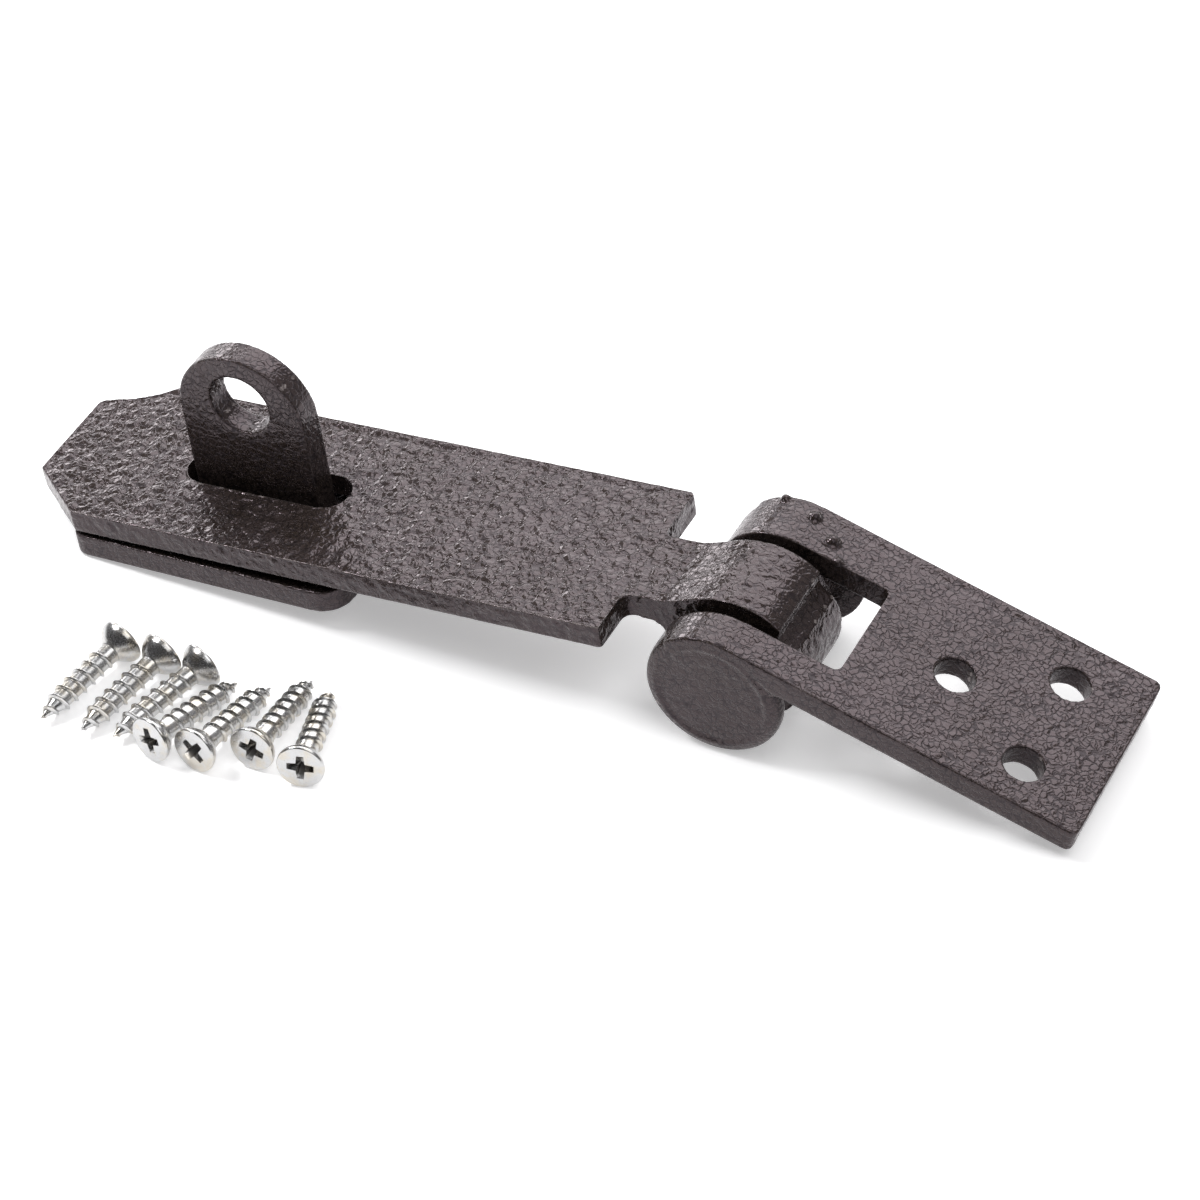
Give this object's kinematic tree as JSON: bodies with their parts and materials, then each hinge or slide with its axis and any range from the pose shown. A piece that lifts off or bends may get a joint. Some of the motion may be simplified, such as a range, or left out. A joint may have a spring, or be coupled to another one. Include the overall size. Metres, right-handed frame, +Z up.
{
  "type": "hasp and staple",
  "caption": "Heavy flat-bar hasp with a rolled-knuckle hinge, shown open over its padlock staple, with loose countersunk wood screws.",
  "frame": {"origin": "middle of the footprint of the whole set, on the floor it stands on", "axes": "+Z up; +X along the hasp from its nose to the hinge leaf; +Y away from the loose screws"},
  "size_m": [0.2038, 0.0798, 0.041],
  "materials": {
    "hammered_paint": "dark brown-grey hammered enamel with a metallic sheen and bright wear on the edges",
    "zinc": "bright zinc plate with a faint yellow tint"
  },
  "bodies": {
    "staple": {"staple_plate": "hammered_paint", "staple_loop": "hammered_paint"},
    "hasp": {"hasp_strap": "hammered_paint"},
    "leaf": {"hinge_leaf": "hammered_paint", "hinge_pin": "hammered_paint"},
    "screw_1": {"screw_1": "zinc"},
    "screw_2": {"screw_2": "zinc"},
    "screw_3": {"screw_3": "zinc"},
    "screw_4": {"screw_4": "zinc"},
    "screw_5": {"screw_5": "zinc"},
    "screw_6": {"screw_6": "zinc"},
    "screw_7": {"screw_7": "zinc"}
  },
  "joints": [
    {"name": "hasp_off_staple", "type": "slide", "parent": "staple", "child": "hasp", "axis": [-0.0994, 0, 0.995], "range_m": [0, 0.036]},
    {"name": "hasp_hinge", "type": "hinge", "parent": "hasp", "child": "leaf", "pos_m": [0.03635, 0.01974, 0.0125], "axis": [0, 1, 0], "range_deg": [-130, 164]},
    {"name": "screw_1_pick_up", "type": "slide", "parent": "staple", "child": "screw_1", "axis": [0, 0, 1], "range_m": [0, 0.03]},
    {"name": "screw_2_pick_up", "type": "slide", "parent": "staple", "child": "screw_2", "axis": [0, 0, 1], "range_m": [0, 0.03]},
    {"name": "screw_3_pick_up", "type": "slide", "parent": "staple", "child": "screw_3", "axis": [0, 0, 1], "range_m": [0, 0.03]},
    {"name": "screw_4_pick_up", "type": "slide", "parent": "staple", "child": "screw_4", "axis": [0, 0, 1], "range_m": [0, 0.03]},
    {"name": "screw_5_pick_up", "type": "slide", "parent": "staple", "child": "screw_5", "axis": [0, 0, 1], "range_m": [0, 0.03]},
    {"name": "screw_6_pick_up", "type": "slide", "parent": "staple", "child": "screw_6", "axis": [0, 0, 1], "range_m": [0, 0.03]},
    {"name": "screw_7_pick_up", "type": "slide", "parent": "staple", "child": "screw_7", "axis": [0, 0, 1], "range_m": [0, 0.03]}
  ]
}
